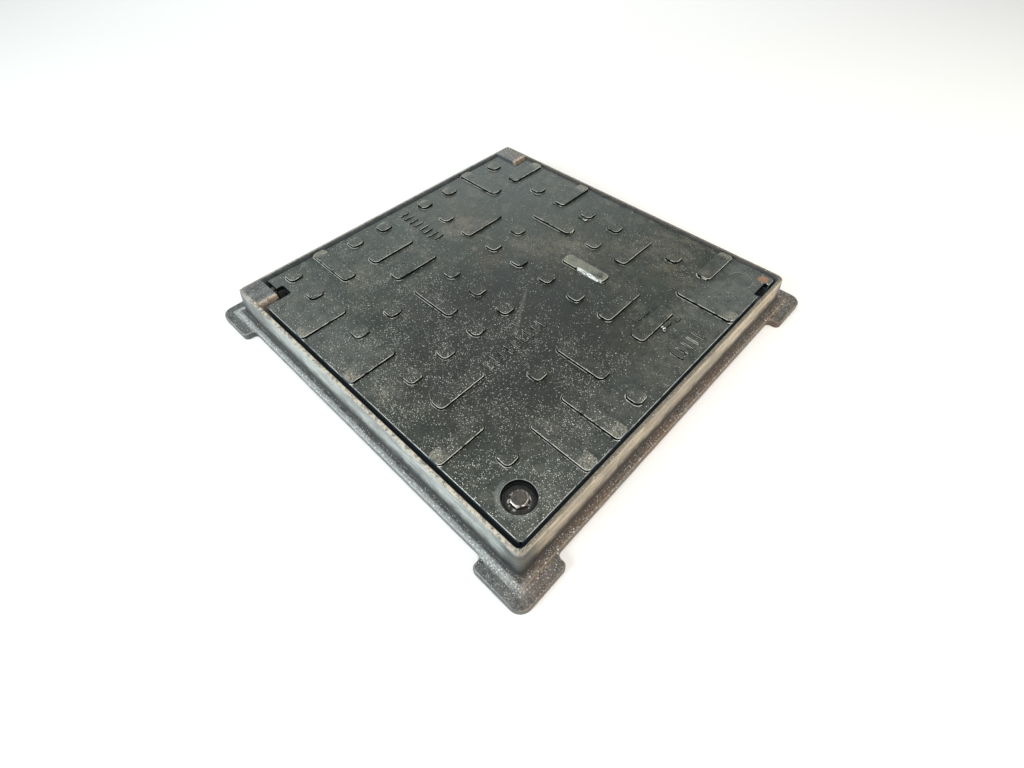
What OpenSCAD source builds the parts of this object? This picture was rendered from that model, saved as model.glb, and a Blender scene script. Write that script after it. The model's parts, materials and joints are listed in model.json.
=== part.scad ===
// Square access cover and frame in cast iron, with a raised anti-slip pattern, two lifting slots,
// a tilting lid and a quarter-turn lock. Millimetres, +Z up, origin at the centre of the base.
// The lid's hinge edge is at -X and its lock is in the corner at +X, -Y.

/* [Lid] */
// Side of the square lid
lid_side = 520; // [430:1:630]
// Free gap between the lid and the frame's mouth, on each side
lid_gap = 4.5; // [3.5:0.1:8]
// How far the loose lid lies off centre, towards +Y
lid_shift = 2; // [0:0.1:2.5]
// Height of the studs and bars above the lid's face
stud_h = 3.2; // [1.5:0.1:5]
// Thickness of the lid's plate under its face
plate_t = 7; // [5:0.5:12]
// Depth of the lid from the top of its studs to the foot of its ribs
lid_h = 26; // [24:0.5:32]
// Thickness of the rib round the lid's edge
skirt_t = 8; // [6:0.5:14]
// Thickness of the ribs under the plate
rib_t = 6; // [4:0.5:12]
// Ribs each way under the plate
rib_count = 7; // [5:1:9]
// Corner radius of the lid
lid_r = 4; // [2:0.5:6]

/* [Pattern] */
// Side of a stud, and width of a bar
stud_w = 20.5; // [14:0.5:26]
// Corner radius of studs and bars
stud_r = 5; // [2:0.5:7]
// From the lid's edge to the centre of the first column
column_margin = 21.5; // [16:0.5:30]
// From the lid's edge to the centre of the first row
row_margin = 59; // [50:0.5:70]
// Height of the plain strokes that stand where markings go
mark_h = 1.8; // [0.6:0.1:2.5]

/* [Lifting slots] */
// Length of the slot beside the hinge housing
slot_a_len = 22.8; // [16:0.2:30]
// Depth of that slot into the lid
slot_a_depth = 9.8; // [6:0.2:14]
// Length of the slot in the opposite edge
slot_b_len = 31; // [20:0.5:40]
// Depth of that slot into the lid
slot_b_depth = 6.3; // [4:0.1:7.5]
// From the lid's back edge to that slot
slot_b_from = 18; // [12:0.5:30]

/* [Frame] */
// Height of the frame
frame_h = 52; // [50:1:90]
// Width of the rim's top
rim_w = 5.5; // [4:0.5:10]
// How far the rim's outside leans out from top to flange
flank_draft = 3; // [0:0.5:6]
// How far the flange stands out past the rim's top
flange_out = 14; // [10:0.5:30]
// Thickness of the flange
flange_t = 12; // [8:0.5:16]
// How far the feet stand out past the flange
foot_out = 16; // [8:0.5:30]
// Length of a foot along each side
foot_len = 70; // [50:1:100]
// Thickness of the feet
foot_t = 10; // [6:0.5:16]
// Width of the ledge that the lid rests on
ledge_w = 14.5; // [10:0.5:20]
// Thickness of the ledge
ledge_t = 6; // [5:0.5:8]
// Corner radius of the frame's mouth
mouth_r = 8; // [6:0.5:12]

/* [Hinge] */
// Length of a hinge housing along X, from the mouth's wall
housing_len = 45; // [36:0.5:60]
// Width of a hinge housing along Y, from the mouth's wall
housing_w = 28.5; // [24:0.5:40]
// Thickness of the housing's roof over the trunnion
roof_t = 5.5; // [4:0.5:5.5]
// Free gap between a housing's end and the lid
housing_gap = 6.8; // [4:0.1:9]
// Free gap between a housing's side and the lid
housing_side_gap = 4; // [3.5:0.1:8]
// Diameter of the lid's trunnions
trunnion_d = 11; // [8:0.5:12]
// From the mouth's wall to the hinge axis
hinge_inset = 19.5; // [18:0.5:22]
// From the frame's top down to the hinge axis
hinge_drop = 11.5; // [11.5:0.1:12]
// Radial running clearance of a trunnion in its housing
trunnion_fit = 0.06; // [0.02:0.01:0.1]

/* [Lock] */
// From the lid's edges to the lock's axis
lock_inset = 34.5; // [32:0.5:45]
// Diameter of the recess round the bolt head
recess_d = 38; // [30:0.5:44]
// Depth of the bolt head's top below the studs
head_drop = 6; // [6:0.5:10]
// Width of the hexagon across its flats
head_af = 19; // [16:0.5:22]
// Height of the bolt head
head_h = 7.5; // [6:0.5:8]
// Diameter of the bolt
bolt_d = 12; // [10:0.5:14]
// Radial clearance of the bolt in the lid
bolt_fit = 0.5; // [0.3:0.1:0.8]
// Outer diameter of the plain washer
washer_d = 30; // [22:0.5:30]
// Thickness of the plain washer
washer_t = 2.5; // [1.5:0.1:2.5]
// Side of the bolt's square end, which turns the cam
square_w = 9; // [8:0.1:10]
// Thickness of the cam's arm
cam_t = 7; // [5:0.5:8]
// How far the locked cam reaches under the ledge
cam_reach = 9; // [6:0.5:11]
// Width of the cam's arm
cam_w = 20; // [14:0.5:22]
// Free gap between the cam and the ledge
cam_gap = 0.7; // [0.5:0.1:1.5]

/* [Hidden] */
$fn = 48;

eps = 0.01;                 // overlap of joined solids and overrun of cuts
rest_gap = 0.3;             // air between pieces that rest on or turn past each other
arc_n = 5;                  // steps in a rounded corner of a polygon
stroke_len = 17;            // the plain strokes, across their row, and their spacing
stroke_w = 4.5;
stroke_step = 12;
blank_d = 34;               // blank circles, where a lock could be fitted instead
blank_h = 0.8;
blank_from_hinge = 78.5;    // the second blank's centre, from the lid's hinge edge
blank_from_side = 21.2;     // and from the lid's side
boss_wall = 8;              // iron round the bolt recess
foot_r = 15;                // outer corner of a foot
foot_side_r = 7;            // its two side corners
foot_fillet = 6;            // fillet between a foot and the flange
shoulder_r = 3;             // rounding of the rim's outer top edge
flange_r = 3;               // rounding of the flange's outer top edge
root_r = 4;                 // fillet between the rim and the flange
ledge_r = 12;               // corner radius of the clear opening
spring_t = 2.5;             // spring washer, lying flat
spring_d = 21;
spring_split = 3;
thread_d = 8;               // threaded end below the square
nut_af = 13;
nut_h = 6.5;
thread_over = 2;            // thread past the nut
hub_r = 11;                 // hub of the cam
cam_fit = 0.1;              // play of the square end in the cam

mouth = lid_side + 2 * lid_gap;
rim_out = mouth / 2 + rim_w;
flange_half = rim_out + flange_out;
foot_half = flange_half + foot_out;
opening = mouth - 2 * ledge_w;
lid_half = lid_side / 2;
face_z = frame_h - stud_h;
lid_foot_z = frame_h - lid_h;
ledge_z = lid_foot_z - rest_gap;
plate_z = face_z - plate_t;

pitch = (lid_side - 2 * column_margin) / 9;
cut_len = housing_len - lid_gap + housing_gap;
cut_w = housing_w - lid_gap + housing_side_gap;
hinge_x = -mouth / 2 + hinge_inset;
hinge_z = frame_h - hinge_drop;
trunnion_r = trunnion_d / 2;
trunnion_end = lid_half - 1;

lock_x = lid_half - lock_inset;
lock_y = -lid_half + lock_inset;
head_z = frame_h - head_drop - head_h;
recess_z = head_z - washer_t - rest_gap;
boss_d = recess_d + 2 * boss_wall;
spring_z = lid_foot_z - rest_gap - spring_t;
cam_top = ledge_z - ledge_t - cam_gap;
cam_z = cam_top - cam_t;
cam_len = opening / 2 - lock_x + cam_reach;
nut_z = cam_z - nut_h;
bolt_foot = nut_z - thread_over;

// The anti-slip pattern, row by row from +Y to -Y, in columns from -X to +X.
// o: stud.  >: bar over this column and the next.  v: bar over this row and the next.
// w, e: bar over two columns to the lid's -X or +X edge.  n, s: bar to its +Y or -Y edge.
PATTERN = [
    "ononoovon.",
    ".w.>.o..e.",
    "o.vo.>.vv.",
    "oo.oooo...",
    "ovvooo.>.o",
    "o..>.o.oe.",
    ".w.o.ov.e.",
    "oososo.so."];

function column_x(c) = -lid_half + column_margin + c * pitch;
function row_y(r) = r < 4 ? lid_half - row_margin - r * pitch : -lid_half + row_margin + (7 - r) * pitch;

// Corner points of a rectangle from low to high with rounded corners
function rounded(low, high, r) = [
    for (q = [0:3])
        let (cx = (q == 0 || q == 3) ? high[0] - r : low[0] + r)
        let (cy = q < 2 ? high[1] - r : low[1] + r)
        for (k = [0:arc_n])
            let (a = 90 * q + 90 * k / arc_n)
            [cx + r * cos(a), cy + r * sin(a)]];

// Points of an arc about [cx, cy] from angle a0 to a1
function arc(cx, cy, r, a0, a1) = [
    for (k = [0:arc_n])
        let (a = a0 + (a1 - a0) * k / arc_n)
        [cx + r * cos(a), cy + r * sin(a)]];

module rounded_block(low, high, r, z0, z1) {
    translate([0, 0, z0])
        linear_extrude(height = z1 - z0)
            polygon(rounded(low, high, r));
}

module square_block(half, r, z0, z1) {
    rounded_block([-half, -half], [half, half], r, z0, z1);
}

module box(low, high) {
    translate(low)
        cube(high - low);
}

// Right half of the frame's outside, seen along a side: flange, fillet, leaning rim, shoulder
function flank() = concat(
    [[flange_half, 0]],
    arc(flange_half - flange_r, flange_t - flange_r, flange_r, 0, 90),
    arc(rim_out + flank_draft + root_r, flange_t + root_r, root_r, 270, 180),
    arc(rim_out - shoulder_r, frame_h - shoulder_r, shoulder_r, 0, 90));

module flank_prism() {
    side = flank();
    last = len(side) - 1;
    rotate([90, 0, 0])
        linear_extrude(height = 2 * foot_half, center = true)
            polygon(concat(side, [for (i = [last:-1:0]) [-side[i][0], side[i][1]]]));
}

module foot() {
    inner = foot_half - foot_len;
    linear_extrude(height = foot_t)
        polygon(concat(
            [[rim_out - rim_w / 2, inner - foot_fillet]],
            arc(flange_half + foot_fillet, inner - foot_fillet, foot_fillet, 180, 90),
            arc(foot_half - foot_side_r, inner + foot_side_r, foot_side_r, 270, 360),
            arc(foot_half - foot_r, foot_half - foot_r, foot_r, 0, 90),
            arc(inner + foot_side_r, foot_half - foot_side_r, foot_side_r, 90, 180),
            arc(inner - foot_fillet, flange_half + foot_fillet, foot_fillet, 0, -90),
            [[inner - foot_fillet, rim_out - rim_w / 2]]));
}

// Hinge housing in the corner at -X, -Y: a roofed block with a blind slot for the trunnion
module housing() {
    wall = -mouth / 2;
    bore_r = trunnion_r + trunnion_fit;
    difference() {
        box([wall - rim_w / 2, wall - rim_w / 2, ledge_z - eps], [wall + housing_len, wall + housing_w, frame_h]);
        translate([hinge_x, wall + 1, hinge_z])
            rotate([-90, 0, 0])
                cylinder(r = bore_r, h = housing_w);
        box([hinge_x - bore_r, wall + 1, hinge_z],
            [hinge_x + bore_r, wall + housing_w + 1, frame_h - roof_t]);
    }
}

module frame() {
    color("#5b5f5e") {
        difference() {
            union() {
                intersection() {
                    flank_prism();
                    rotate([0, 0, 90])
                        flank_prism();
                }
                for (a = [0:90:270])
                    rotate([0, 0, a])
                        foot();
            }
            square_block(mouth / 2, mouth_r, ledge_z, frame_h + 1);
            square_block(opening / 2, ledge_r, -1, frame_h);
            square_block(mouth / 2, mouth_r, -1, ledge_z - ledge_t);
            box([-mouth / 2, -mouth / 2 + housing_w, -1], [0, mouth / 2 - housing_w, frame_h]);
        }
        housing();
        mirror([0, 1, 0])
            housing();
    }
}

// One bar or stud between two cell corners, from inside the plate up to the studs' top
module pad(low, high) {
    rounded_block(low, high, stud_r, face_z - 1, frame_h);
}

module pattern() {
    half = stud_w / 2;
    for (r = [0:7])
        for (c = [0:9]) {
            kind = PATTERN[r][c];
            x = column_x(c);
            y = row_y(r);
            if (kind == "o")
                pad([x - half, y - half], [x + half, y + half]);
            if (kind == ">")
                pad([x - half, y - half], [x + pitch + half, y + half]);
            if (kind == "v")
                pad([x - half, y - pitch - half], [x + half, y + half]);
            if (kind == "w")
                pad([-lid_half, y - half], [x + half, y + half]);
            if (kind == "e")
                pad([x - half, y - half], [lid_half, y + half]);
            if (kind == "n")
                pad([x - half, y - half], [x + half, lid_half]);
            if (kind == "s")
                pad([x - half, -lid_half], [x + half, y + half]);
        }
}

// A row of plain raised strokes about [x, y], along X or turned to run along Y
module strokes(x, y, count, turn) {
    translate([x, y, 0])
        rotate([0, 0, turn])
            for (k = [0:count - 1])
                translate([(k - (count - 1) / 2) * stroke_step - stroke_w / 2, -stroke_len / 2, face_z - 1])
                    cube([stroke_w, stroke_len, mark_h + 1]);
}

// The strokes stand in the three places where such a lid carries its markings
module marks() {
    strokes(column_x(0) + 3.25 * stroke_step, 0, 8, 0);
    strokes(column_x(6), row_y(5) + stroke_len, 9, 90);
    strokes(column_x(9), (row_y(2) + row_y(3)) / 2, 5, 90);
}

// Outline of the lid's casting: square, with a corner cut out for each hinge housing
module lid_block() {
    difference() {
        square_block(lid_half, lid_r, lid_foot_z, face_z);
        for (s = [-1, 1])
            box([-lid_half - 1, s > 0 ? lid_half - cut_w : -lid_half - 1, 0],
                [-lid_half + cut_len, s > 0 ? lid_half + 1 : -lid_half + cut_w, frame_h + 1]);
        box([-lid_half + cut_len - slot_a_len, -lid_half, 0],
            [-lid_half + cut_len, -lid_half + cut_w + slot_a_depth, frame_h + 1]);
        box([lid_half - slot_b_depth, lid_half - slot_b_from - slot_b_len, 0],
            [lid_half + 1, lid_half - slot_b_from, frame_h + 1]);
    }
}

// Hollow underside between the ribs, as one flat shape
module hollows() {
    inner = lid_half - skirt_t;
    step = 2 * inner / (rib_count + 1);
    keep_x = -lid_half + cut_len + skirt_t;
    difference() {
        square(2 * inner, center = true);
        for (i = [1:rib_count]) {
            translate([-inner + i * step, 0])
                square([rib_t, lid_side], center = true);
            translate([0, -inner + i * step])
                square([lid_side, rib_t], center = true);
        }
        translate([-lid_half, -lid_half])
            square([keep_x + lid_half, cut_w + slot_a_depth + skirt_t]);
        translate([-lid_half, lid_half - cut_w - skirt_t])
            square([keep_x + lid_half, cut_w + skirt_t]);
        translate([lid_half - slot_b_depth - skirt_t, lid_half - slot_b_from - slot_b_len - skirt_t])
            square([slot_b_depth + skirt_t, slot_b_len + 2 * skirt_t]);
        translate([lock_x, lock_y])
            circle(d = boss_d);
        translate([lock_x, -lock_y])
            circle(d = boss_d);
    }
}

module lid_casting() {
    difference() {
        union() {
            difference() {
                lid_block();
                translate([0, 0, lid_foot_z - 1])
                    linear_extrude(height = plate_z - lid_foot_z + 1)
                        hollows();
            }
            pattern();
            marks();
            for (s = [-1, 1])
                translate([hinge_x, s * (lid_half - cut_w - skirt_t / 2), hinge_z])
                    rotate([-90 * s, 0, 0])
                        cylinder(r = trunnion_r, h = trunnion_end - lid_half + cut_w + skirt_t / 2);
        }
        translate([lock_x, lock_y, recess_z])
            cylinder(d = recess_d, h = frame_h);
        translate([lock_x, lock_y, 0])
            cylinder(r = bolt_d / 2 + bolt_fit, h = frame_h);
        translate([lock_x, -lock_y, face_z - blank_h])
            cylinder(d = blank_d, h = frame_h);
        translate([-lid_half + blank_from_hinge, -lid_half + blank_from_side, face_z - blank_h])
            cylinder(d = blank_d, h = stud_h);
    }
}

module lid() {
    color("#4f5655")
        translate([0, lid_shift, 0])
            lid_casting();
}

// Puts a lock piece, drawn about the origin, on the lock's axis
module at_lock() {
    translate([lock_x, lock_y + lid_shift, 0])
        children();
}

module hexagon(af, h) {
    cylinder(r = af / 2 / cos(30), h = h, $fn = 6);
}

module lock_bolt() {
    color("#4a4744")
        at_lock() {
            translate([0, 0, head_z])
                intersection() {
                    hexagon(head_af, head_h);
                    translate([0, 0, -head_af])
                        cylinder(r1 = head_af * 1.5, r2 = head_af / 2 * 0.95, h = head_h + head_af, $fn = 64);
                }
            translate([0, 0, spring_z])
                cylinder(d = bolt_d, h = head_z - spring_z + eps);
            translate([-square_w / 2, -square_w / 2, cam_z])
                cube([square_w, square_w, spring_z - cam_z]);
            translate([0, 0, bolt_foot])
                cylinder(d = thread_d, h = spring_z - bolt_foot + eps);
        }
}

module bolt_washer() {
    color("#55524d")
        at_lock()
            translate([0, 0, head_z - washer_t])
                difference() {
                    cylinder(d = washer_d, h = washer_t);
                    translate([0, 0, -1])
                        cylinder(r = bolt_d / 2 + rest_gap, h = washer_t + 2);
                }
}

module spring_washer() {
    color("#6c6a66")
        at_lock()
            translate([0, 0, spring_z])
                difference() {
                    cylinder(d = spring_d, h = spring_t);
                    translate([0, 0, -1])
                        cylinder(r = bolt_d / 2 + rest_gap, h = spring_t + 2);
                    translate([0, -spring_split / 2, -1])
                        cube([spring_d, spring_split, spring_t + 2]);
                }
}

// The cam lies along +Y when unlocked, and swings towards +X under the ledge
module lock_cam() {
    hole = square_w + 2 * cam_fit;
    color("#4d4f4e")
        at_lock()
            difference() {
                union() {
                    translate([0, 0, cam_z])
                        cylinder(r = hub_r, h = spring_z - cam_z);
                    rounded_block([-cam_w / 2, -hub_r], [cam_w / 2, cam_len], 3, cam_z, cam_top);
                }
                translate([-hole / 2, -hole / 2, cam_z - 1])
                    cube([hole, hole, spring_z]);
            }
}

module lock_nut() {
    color("#6c6a66")
        at_lock()
            translate([0, 0, nut_z])
                difference() {
                    hexagon(nut_af, nut_h);
                    translate([0, 0, -1])
                        cylinder(d = thread_d, h = nut_h + 2);
                }
}

frame();
lid();
lock_bolt();
bolt_washer();
spring_washer();
lock_cam();
lock_nut();
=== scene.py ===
# %% [markdown]
# # A cast-iron access cover
# A square iron lid lies in a square iron frame over a small chamber in the ground. The lid tips up
# on two trunnions and is locked by one hexagon bolt in a corner. The imported model gives the exact
# sizes and the joints. This notebook makes the looks around it: rounded castings, wear and dirt, and
# some light and shade painted into the colours.

# %% Load the imported model
import json
import math

import bmesh
import bpy
import numpy as np
from mathutils import Matrix, Vector, noise


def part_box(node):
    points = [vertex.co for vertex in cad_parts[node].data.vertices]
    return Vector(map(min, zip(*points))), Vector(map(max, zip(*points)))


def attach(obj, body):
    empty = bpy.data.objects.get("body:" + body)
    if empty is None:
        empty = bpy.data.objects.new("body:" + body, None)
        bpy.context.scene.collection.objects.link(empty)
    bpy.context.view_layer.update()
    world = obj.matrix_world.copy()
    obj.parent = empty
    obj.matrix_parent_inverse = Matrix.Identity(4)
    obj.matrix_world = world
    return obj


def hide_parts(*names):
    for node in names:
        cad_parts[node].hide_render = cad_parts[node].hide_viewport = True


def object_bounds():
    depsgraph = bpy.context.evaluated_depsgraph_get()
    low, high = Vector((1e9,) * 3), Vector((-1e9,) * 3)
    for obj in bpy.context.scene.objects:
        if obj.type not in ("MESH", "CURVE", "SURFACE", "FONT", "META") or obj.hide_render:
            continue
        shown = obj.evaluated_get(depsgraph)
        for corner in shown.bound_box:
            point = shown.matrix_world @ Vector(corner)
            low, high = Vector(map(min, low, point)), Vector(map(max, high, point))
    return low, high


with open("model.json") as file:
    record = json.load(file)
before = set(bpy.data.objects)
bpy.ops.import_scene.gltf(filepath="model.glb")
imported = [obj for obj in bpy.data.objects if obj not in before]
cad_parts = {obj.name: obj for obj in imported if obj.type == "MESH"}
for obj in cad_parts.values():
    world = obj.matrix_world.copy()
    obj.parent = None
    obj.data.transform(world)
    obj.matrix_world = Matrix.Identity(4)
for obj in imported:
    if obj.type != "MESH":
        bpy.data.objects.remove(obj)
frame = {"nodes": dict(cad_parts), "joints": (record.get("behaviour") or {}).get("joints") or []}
cad_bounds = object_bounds()
MM = 0.001

# %% [markdown]
# Shapes are drawn in millimetres, as on a pattern maker's drawing, and turned into metres only when
# a mesh is made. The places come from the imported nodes, so the looks can't drift off the model.

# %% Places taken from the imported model
def box_mm(node):
    low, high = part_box(node)
    return np.array(low) / MM, np.array(high) / MM


frame_high = box_mm("frame")[1]
lid_low, lid_high = box_mm("lid")
bolt_low, bolt_high = box_mm("lock_bolt")
TOP = frame_high[2]
LID_HALF = (lid_high[0] - lid_low[0]) / 2
LID_Y = (lid_low[1] + lid_high[1]) / 2
LOCK = (bolt_low + bolt_high) / 2
FACE = TOP - 3.2                       # the lid's face, below the tops of its studs
joints = {joint["name"]: joint for joint in frame["joints"]}
hinge = np.array(joints["lid_tilt"]["pos_m"]) / MM
BLANKS = [(225.5, 225.5 + LID_Y), (-181.5, -238.8 + LID_Y)]     # shallow circles cast in the lid
print("lid half side", LID_HALF, "lid centre y", LID_Y, "lock axis", LOCK[:2], "hinge", hinge)

# %% [markdown]
# A sand casting is made of soft outlines that change a little with height: draft so that the pattern
# leaves the mould, and a radius on every edge. So each solid here is a stack of outlines, low to high.
# `inset` moves an outline in along its mitres, which makes draft and rounded edges from one outline.

# %% Outlines
def rounded(low, high, radius, arc=6, side=1):
    """Points round a rectangle with rounded corners, anticlockwise."""
    centres = [(high[0] - radius, high[1] - radius), (low[0] + radius, high[1] - radius),
               (low[0] + radius, low[1] + radius), (high[0] - radius, low[1] + radius)]
    turn = [math.pi / 2 * (q + k / arc) for q in range(4) for k in range(arc + 1)]
    corners = np.array([(centres[k // (arc + 1)][0] + radius * math.cos(a),
                         centres[k // (arc + 1)][1] + radius * math.sin(a))
                        for k, a in enumerate(turn)]).reshape(4, arc + 1, 2)
    points = []
    for q in range(4):
        start, end = corners[q][-1], corners[(q + 1) % 4][0]
        points += list(corners[q])
        points += [start + (end - start) * k / side for k in range(1, side)]
    return np.array(points)


def circle(centre, radius, count=48):
    angles = np.arange(count) * 2 * math.pi / count
    return np.column_stack([centre[0] + radius * np.cos(angles), centre[1] + radius * np.sin(angles)])


def arc(centre, radius, start, end, count=6):
    """Points of an arc, in degrees."""
    angles = np.radians(np.linspace(start, end, count))
    return [(centre[0] + radius * math.cos(a), centre[1] + radius * math.sin(a)) for a in angles]


def inset(outline, distance):
    """The outline moved in by a distance, with mitred corners."""
    edge = np.roll(outline, -1, 0) - outline
    inward = np.column_stack([-edge[:, 1], edge[:, 0]]) / np.linalg.norm(edge, axis=1)[:, None]
    mitre = inward + np.roll(inward, 1, 0)
    return outline + 2 * distance * mitre / (mitre ** 2).sum(1)[:, None]


def laid(outline, z):
    """An outline laid flat at a height."""
    return np.column_stack([outline, np.full(len(outline), z)])


def stood(outline, y):
    """An outline drawn in x and z, stood up at a place along Y."""
    return np.column_stack([outline[:, 0], np.full(len(outline), y), outline[:, 1]])


def stack(outline, steps):
    """Rings from one outline: each step is how far it is moved in, and its height."""
    return [laid(inset(outline, d), z) for d, z in steps]


# %% [markdown]
# A solid is the skin through such a stack, closed at both ends, or joined into a ring for a section that
# runs round. Solids are added and cut with Boolean modifiers, which are baked at once.

# %% Solids
def solid(name, rings, looped=False):
    """A closed mesh through rings of equal length. A looped one joins its last ring to its first."""
    count, size = len(rings), len(rings[0])
    faces = []
    for k in range(count if looped else count - 1):
        a, b = k * size, (k + 1) % count * size
        faces += [(a + i, a + (i + 1) % size, b + (i + 1) % size, b + i) for i in range(size)]
    if not looped:
        faces += [tuple(range(size))[::-1], tuple(range((count - 1) * size, count * size))]
    mesh = bpy.data.meshes.new(name)
    mesh.from_pydata(np.concatenate(rings) * MM, [], faces)
    face_outwards(mesh)
    made = bpy.data.objects.new(name, mesh)
    bpy.context.scene.collection.objects.link(made)
    return made


def face_outwards(mesh):
    work = bmesh.new()
    work.from_mesh(mesh)
    if work.calc_volume(signed=True) < 0:
        bmesh.ops.reverse_faces(work, faces=work.faces)
    work.to_mesh(mesh)
    work.free()


def bake(piece):
    """Makes the result of a piece's modifiers its own plain mesh."""
    evaluated = piece.evaluated_get(bpy.context.evaluated_depsgraph_get())
    mesh = bpy.data.meshes.new_from_object(evaluated)
    piece.modifiers.clear()
    piece.data = mesh
    return piece


def combine(piece, tool, operation="UNION"):
    """Adds a tool solid to a piece, or cuts it away, and uses the tool up."""
    modifier = piece.modifiers.new(operation, "BOOLEAN")
    modifier.operation = operation
    modifier.solver = "MANIFOLD"
    modifier.object = tool
    bake(piece)
    bpy.data.objects.remove(tool)


def split_flats(piece, x, y):
    """Cuts a piece's faces along two lines on the plan, so that no face runs right round a hollow."""
    sheet = bmesh.new()
    sheet.from_mesh(piece.data)
    for normal in ((1, 0, 0), (0, 1, 0)):
        bmesh.ops.bisect_plane(sheet, geom=[*sheet.verts, *sheet.edges, *sheet.faces],
                               plane_co=(x * MM, y * MM, 0), plane_no=normal)
    sheet.to_mesh(piece.data)
    sheet.free()


print("outline of a stud has", len(rounded((-10, -10), (10, 10), 5)), "points")

# %% [markdown]
# ## Node trees written as Python
# Both the repeated shapes and the materials are node trees. A `Board` holds one tree. Its `node`
# method adds any node from its type, its settings and its socket values, and a `Wire` is an output
# that takes part in ordinary sums, so a mask reads like a formula instead of a list of links.

# %% Boards and wires
class Wire:
    """A node's output that can be used in sums."""

    def __init__(self, board, socket):
        self.board, self.socket = board, socket

    def out(self, key):
        """Another output of the same node."""
        return Wire(self.board, self.socket.node.outputs[key])

    def sum_node(self, operation, first, second):
        vector = self.socket.type == "VECTOR"
        kind = "ShaderNodeVectorMath" if vector else "ShaderNodeMath"
        return self.board.node(kind, {"operation": operation}, {0: first, 1: second})

    def __add__(self, other):
        return self.sum_node("ADD", self, other)

    def __sub__(self, other):
        return self.sum_node("SUBTRACT", self, other)

    def __rsub__(self, other):
        return self.sum_node("SUBTRACT", other, self)

    def __mul__(self, other):
        return self.sum_node("MULTIPLY", self, other)

    def __gt__(self, other):
        return self.sum_node("GREATER_THAN", self, other)

    def __lt__(self, other):
        return self.sum_node("LESS_THAN", self, other)

    __radd__, __rmul__ = __add__, __mul__


class Board:
    """A node tree that is written as Python."""

    def __init__(self, tree):
        self.tree = tree
        tree.nodes.clear()

    def node(self, kind, settings=None, sockets=None, out=0):
        made = self.tree.nodes.new(kind)
        for name, value in (settings or {}).items():
            setattr(made, name, value)
        for key, value in (sockets or {}).items():
            if isinstance(value, Wire):
                self.tree.links.new(value.socket, made.inputs[key])
            else:
                made.inputs[key].default_value = value
        return Wire(self, made.outputs[out] if len(made.outputs) else None)

    def ramp(self, value, low, high):
        """0 below low, 1 above high, and smooth between; low may be the larger."""
        return self.node("ShaderNodeMapRange", {"interpolation_type": "SMOOTHSTEP"},
                         {0: value, 1: low, 2: high})

    def split(self, vector):
        made = self.node("ShaderNodeSeparateXYZ", {}, {0: vector})
        return [made.out(k) for k in range(3)]

    def between(self, value, low, high, soft):
        """1 from low to high, falling to 0 over a soft border outside them."""
        return self.ramp(value, low - soft, low) * self.ramp(value, high + soft, high)

    def function(self, operation, first, second=0.0):
        return self.node("ShaderNodeMath", {"operation": operation}, {0: first, 1: second})


# %% [markdown]
# ## Repeating shapes with Geometry Nodes
# Ribs and strokes stand in rows, so one tree serves both: it puts copies of the piece it is given
# along a line. The studs need more: each one is a stud whose ends are pulled out to make a bar, so
# that every bar keeps the same rounded corners. Scaling a stud would flatten its radii instead.

# %% Running a tree on a piece
def grown(piece, tree, values):
    """Runs a tree on a piece with its named inputs set, and keeps the result as a plain mesh."""
    modifier = piece.modifiers.new(tree.name, "NODES")
    modifier.node_group = tree
    sockets = {item.name: item.identifier for item in tree.interface.items_tree}
    for name, value in values.items():
        modifier[sockets[name]] = value
    return bake(piece)


def new_tree(name, inputs):
    tree = bpy.data.node_groups.new(name, "GeometryNodeTree")
    for label, kind in [("Geometry", "NodeSocketGeometry"), *inputs]:
        tree.interface.new_socket(label, in_out="INPUT", socket_type=kind)
    tree.interface.new_socket("Geometry", in_out="OUTPUT", socket_type="NodeSocketGeometry")
    return tree, Board(tree)


# %% [markdown]
# The row tree draws a line of points and puts the given piece on each of them.

# %% A row of copies
def row_tree():
    tree, board = new_tree("row of copies", [
        ("Count", "NodeSocketInt"), ("Start", "NodeSocketVector"), ("Step", "NodeSocketVector"),
        ("Turn", "NodeSocketFloat"), ("Finish", "NodeSocketMaterial")])
    given = board.node("NodeGroupInput")
    piece, count, start, step, turn, finish = [given.out(k) for k in range(6)]
    line = board.node("GeometryNodeMeshLine", {"mode": "OFFSET"},
                      {"Count": count, "Start Location": start, "Offset": step})
    rotation = board.node("ShaderNodeCombineXYZ", {}, {2: turn})
    copies = board.node("GeometryNodeInstanceOnPoints", {},
                        {"Points": line, "Instance": piece, "Rotation": rotation})
    real = board.node("GeometryNodeRealizeInstances", {}, {0: copies})
    real = board.node("GeometryNodeSetMaterial", {}, {"Geometry": real, "Material": finish})
    board.node("NodeGroupOutput", {}, {0: real})
    return tree


ROW = row_tree()
print("tree", ROW.name, "has", len(ROW.nodes), "nodes")

# %% [markdown]
# The stud tree reads three stored values from each point: the middle of the mark, and how far its low
# and its high end are pulled. A vertex moves with the end that it lies towards.

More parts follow.
